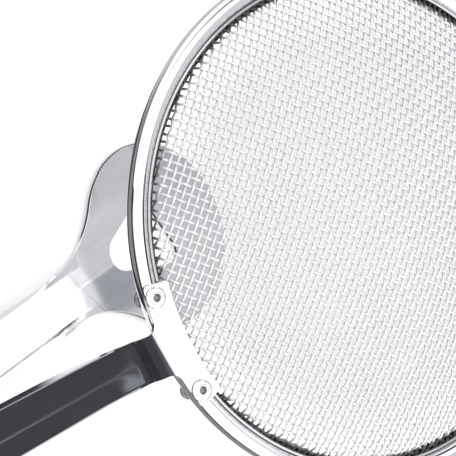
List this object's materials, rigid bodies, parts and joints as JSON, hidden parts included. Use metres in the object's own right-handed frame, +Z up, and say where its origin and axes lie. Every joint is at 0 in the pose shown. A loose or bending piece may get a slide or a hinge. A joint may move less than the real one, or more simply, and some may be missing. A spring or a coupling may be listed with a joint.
{
  "type": "strainer tongs",
  "caption": "Stainless-steel tongs with a domed wire-mesh strainer on one arm and a toothed round clip plate on the other, sprung open at the tail.",
  "frame": {"origin": "centre of the bounding box in plan, on the surface that the clip arm lies on", "axes": "+X from the tail hinge to the heads, +Y across the arms, +Z up out of the clip arm towards the strainer"},
  "size_m": [0.2752, 0.1266, 0.1252],
  "materials": {
    "polished_steel": "polished stainless steel, rim and rivets",
    "pressed_steel": "bright rolled stainless sheet, both arms",
    "wire_cloth": "bright drawn stainless wire",
    "spring_steel": "drawn spring wire",
    "mandrel_steel": "dull broken rivet stem"
  },
  "bodies": {
    "clip_side": {"clip_arm": "pressed_steel", "hinge_pin": "polished_steel", "torsion_spring": "spring_steel"},
    "strainer_side": {"strainer_arm": "pressed_steel", "rim_hoop": "polished_steel", "clamp_ring": "polished_steel", "mesh_dish": "wire_cloth", "bracket_rivet_left": "polished_steel", "bracket_rivet_right": "polished_steel", "mandrel_stub_left": "mandrel_steel", "mandrel_stub_right": "mandrel_steel"}
  },
  "joints": [
    {"name": "arm_hinge", "type": "hinge", "parent": "clip_side", "child": "strainer_side", "pos_m": [-0.11665, 0, 0.007], "axis": [0, 1, 0], "range_deg": [0, 28], "stiffness_Nm_per_rad": 0.5, "springref_deg": -51.57, "deforming": ["torsion_spring"]}
  ]
}
